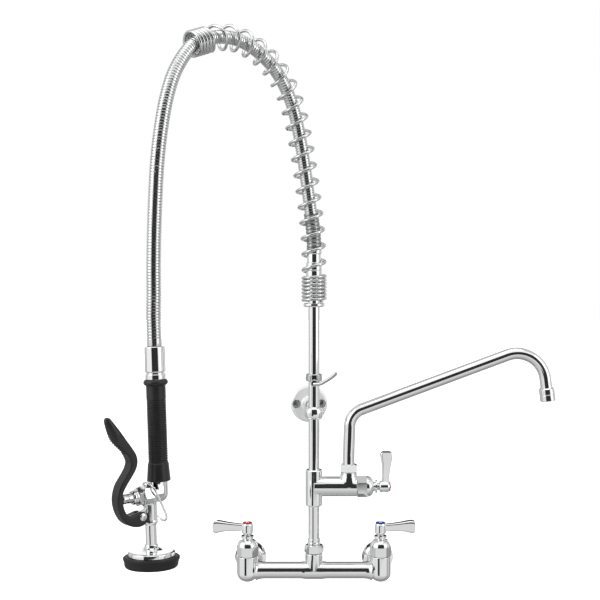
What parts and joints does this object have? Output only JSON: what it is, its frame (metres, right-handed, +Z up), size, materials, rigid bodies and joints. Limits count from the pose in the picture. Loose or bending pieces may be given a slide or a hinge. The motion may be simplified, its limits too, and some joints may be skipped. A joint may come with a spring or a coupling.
{
  "type": "pre rinse faucet",
  "caption": "Wall-mounted chrome pre-rinse faucet: two-valve base, riser with add-on valve and swing spout, wall bracket, spring-guided hose and squeeze spray valve.",
  "frame": {"origin": "on the wall plane, midway between the two inlets and at their height", "axes": "+Z up, +Y into the wall, +X to the user's right"},
  "size_m": [0.6451, 0.3264, 0.834],
  "materials": {
    "chrome": "mirror-polished chrome plate",
    "steel": "bright stainless",
    "hose_steel": "ribbed stainless casing, satin",
    "brass": "machined",
    "black_nylon": "moulded, semi-matt",
    "black_rubber": "moulded, matt",
    "washer_rubber": "matt",
    "index_red": "gloss",
    "index_blue": "gloss"
  },
  "bodies": {
    "faucet": {"base_body": "chrome", "hot_inlet": "chrome", "cold_inlet": "chrome", "hot_inlet_nut": "chrome", "cold_inlet_nut": "chrome", "hot_wall_flange": "chrome", "cold_wall_flange": "chrome", "hot_bonnet": "chrome", "hot_cartridge": "brass", "cold_bonnet": "chrome", "cold_cartridge": "brass", "addon_bonnet": "chrome", "addon_cartridge": "brass", "outlet_nut": "chrome", "lower_riser": "chrome", "addon_body": "chrome", "riser": "chrome", "spout_nut": "chrome", "spout_washer": "washer_rubber", "finger_hook": "chrome", "hook_screw": "steel", "spring_collar": "chrome", "spring": "chrome", "hose_adapter": "chrome", "hose_sleeve": "hose_steel", "hose": "hose_steel", "hose_nut": "chrome"},
    "hot_lever": {"hot_spindle": "brass", "hot_handle": "chrome", "hot_index_ring": "index_red", "hot_handle_screw": "chrome"},
    "cold_lever": {"cold_spindle": "brass", "cold_handle": "chrome", "cold_index_ring": "index_blue", "cold_handle_screw": "chrome"},
    "addon_lever": {"addon_spindle": "brass", "addon_handle": "chrome", "addon_index_ring": "index_red", "addon_handle_screw": "chrome"},
    "swing_spout": {"spout": "chrome", "outlet_shell": "chrome", "aerator": "steel"},
    "wall_bracket": {"bracket_ring": "chrome", "bracket_flange": "chrome", "bracket_screw_left": "steel", "bracket_screw_right": "steel", "bracket_set_screw": "steel"},
    "spray_valve": {"grip_collar": "chrome", "grip": "black_nylon", "valve_body": "chrome", "spray_bonnet": "chrome", "lever_pivot": "steel", "spray_plate": "chrome", "bumper": "black_rubber", "head_screw": "steel"},
    "spray_lever": {"squeeze_lever": "black_nylon"},
    "plunger_pin": {"plunger": "steel"},
    "ring_link": {"hold_ring": "chrome"}
  },
  "joints": [
    {"name": "hot_handle_turn", "type": "hinge", "parent": "faucet", "child": "hot_lever", "pos_m": [-0.1016, -0.08, 0.065], "axis": [0, 0, 1], "range_deg": [0, 90]},
    {"name": "cold_handle_turn", "type": "hinge", "parent": "faucet", "child": "cold_lever", "pos_m": [0.1016, -0.08, 0.065], "axis": [0, 0, -1], "range_deg": [0, 90]},
    {"name": "addon_handle_turn", "type": "hinge", "parent": "faucet", "child": "addon_lever", "pos_m": [0.109, -0.08, 0.1278], "axis": [1, 0, 0], "range_deg": [0, 90]},
    {"name": "spout_swing", "type": "hinge", "parent": "faucet", "child": "swing_spout", "pos_m": [0.0531, -0.08, 0.15], "axis": [0, 0, 1], "range_deg": [-120, 12]},
    {"name": "bracket_swivel", "type": "hinge", "parent": "faucet", "child": "wall_bracket", "pos_m": [0, -0.08, 0.2408], "axis": [0, 0, 1], "range_deg": [-46, 34]},
    {"name": "spray_swivel", "type": "hinge", "parent": "faucet", "child": "spray_valve", "pos_m": [-0.21509, -0.26698, 0.355], "axis": [-0.0332, 0, 0.9995], "range_deg": [-90, 90]},
    {"name": "lever_squeeze", "type": "hinge", "parent": "spray_valve", "child": "spray_lever", "pos_m": [-0.2318, -0.28797, 0.13032], "axis": [-0.6557, 0.7547, -0.0218], "range_deg": [0, 16], "stiffness_Nm_per_rad": 0.6, "springref_deg": -5.73},
    {"name": "plunger_slide", "type": "slide", "parent": "spray_valve", "child": "plunger_pin", "axis": [0.7543, 0.6561, 0.025], "range_m": [0, 0.0078]},
    {"name": "hold_ring_swing", "type": "hinge", "parent": "spray_valve", "child": "ring_link", "pos_m": [-0.22386, -0.27984, 0.17321], "axis": [0.6557, -0.7547, 0.0218], "range_deg": [0, 20]}
  ],
  "couplings": [
    {"joint": "plunger_slide", "follows": "lever_squeeze", "m_per_rad": 0.027932}
  ]
}
